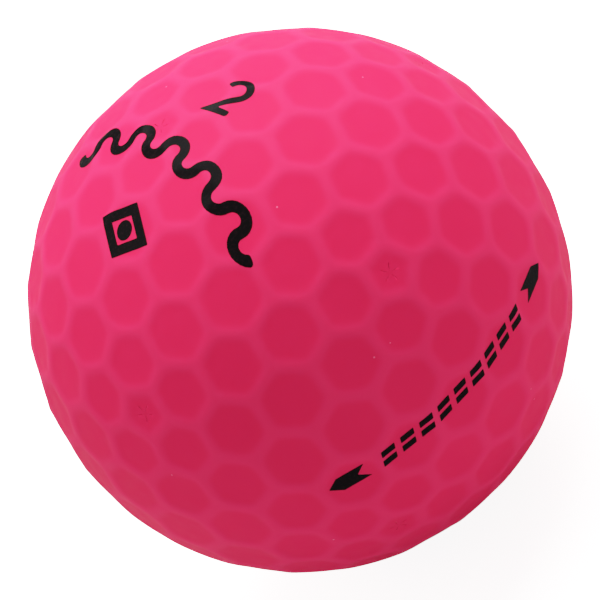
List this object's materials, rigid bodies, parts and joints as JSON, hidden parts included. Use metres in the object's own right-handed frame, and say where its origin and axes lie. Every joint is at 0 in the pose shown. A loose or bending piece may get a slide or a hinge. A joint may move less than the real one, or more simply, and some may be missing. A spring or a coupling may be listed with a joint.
{
  "type": "golf ball",
  "caption": "Two-piece golf ball: solid rubber core in a matte pink moulded cover with interlocking hexagonal dimples and black pad-printed marks at both poles and along the seam.",
  "frame": {"origin": "the ball's centre", "axes": "+Z through the mould pole that carries one of the two play numbers, with the mould's parting plane in XY; -Y through the middle of the front side print, and +X along the up direction of the pole prints"},
  "size_m": [0.0426, 0.0426, 0.0424],
  "materials": {
    "cover_ionomer": "matte",
    "core_rubber": "matte",
    "print_ink": "satin"
  },
  "bodies": {
    "root": {"core": "core_rubber", "cover": "cover_ionomer", "arrow_back_left": "print_ink", "arrow_back_right": "print_ink", "arrow_front_left": "print_ink", "arrow_front_right": "print_ink", "dashes_back": "print_ink", "dashes_front": "print_ink", "emblem_north": "print_ink", "emblem_south": "print_ink", "number_north": "print_ink", "number_south": "print_ink", "wave_north": "print_ink", "wave_south": "print_ink"}
  },
  "joints": []
}
